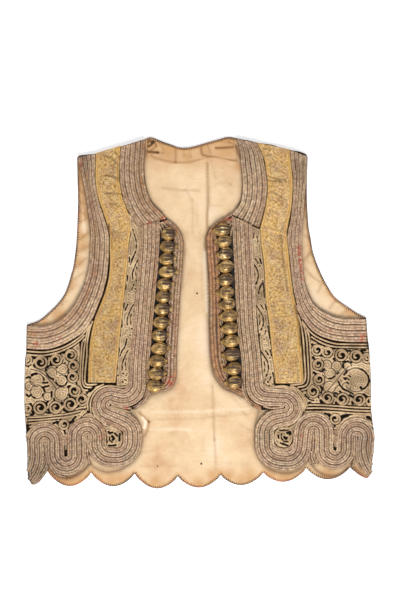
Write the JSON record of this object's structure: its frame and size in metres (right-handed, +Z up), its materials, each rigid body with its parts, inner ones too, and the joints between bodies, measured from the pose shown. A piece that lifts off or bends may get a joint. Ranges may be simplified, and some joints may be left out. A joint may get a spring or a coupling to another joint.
{
  "type": "embroidered waistcoat",
  "caption": "Sleeveless open-fronted waistcoat laid flat, with corded bands looping along the hem, brocade ribbons, gilt buttons and a scalloped back hem.",
  "frame": {"origin": "centre of the bounding box in X and Y, on the surface that the waistcoat lies on", "axes": "+Z up from that surface, through the back and the fronts; +Y from the hem to the neck; +X to the right as seen from above, towards the wearer's left side"},
  "size_m": [0.4534, 0.456, 0.0183],
  "materials": {
    "wool": "matt fulled woollen cloth",
    "cotton": "plain washed cotton, slightly creased",
    "cord": "couched silver-gilt cord, tarnished",
    "brocade": "gold brocade ribbon",
    "strip": "matt dark cloth",
    "gilt": "worn gilt brass"
  },
  "bodies": {
    "root": {"back": "wool", "back_lining": "cotton", "neck_facing": "cotton", "front_left": "wool", "neck_band_left": "cord", "armhole_band_left": "cord", "front_band_left": "cord", "edge_braid_left": "cord", "button_strip_left": "strip", "shoulder_ribbon_left": "brocade", "front_ribbon_left": "brocade", "button_left_01": "gilt", "button_left_02": "gilt", "button_left_03": "gilt", "button_left_04": "gilt", "button_left_05": "gilt", "button_left_06": "gilt", "button_left_07": "gilt", "button_left_08": "gilt", "button_left_09": "gilt", "button_left_10": "gilt", "button_left_11": "gilt", "button_left_12": "gilt", "button_left_13": "gilt", "front_right": "wool", "neck_band_right": "cord", "armhole_band_right": "cord", "front_band_right": "cord", "edge_braid_right": "cord", "button_strip_right": "strip", "shoulder_ribbon_right": "brocade", "front_ribbon_right": "brocade", "button_right_01": "gilt", "button_right_02": "gilt", "button_right_03": "gilt", "button_right_04": "gilt", "button_right_05": "gilt", "button_right_06": "gilt", "button_right_07": "gilt", "button_right_08": "gilt", "button_right_09": "gilt", "button_right_10": "gilt", "button_right_11": "gilt", "button_right_12": "gilt", "button_right_13": "gilt"}
  },
  "joints": []
}
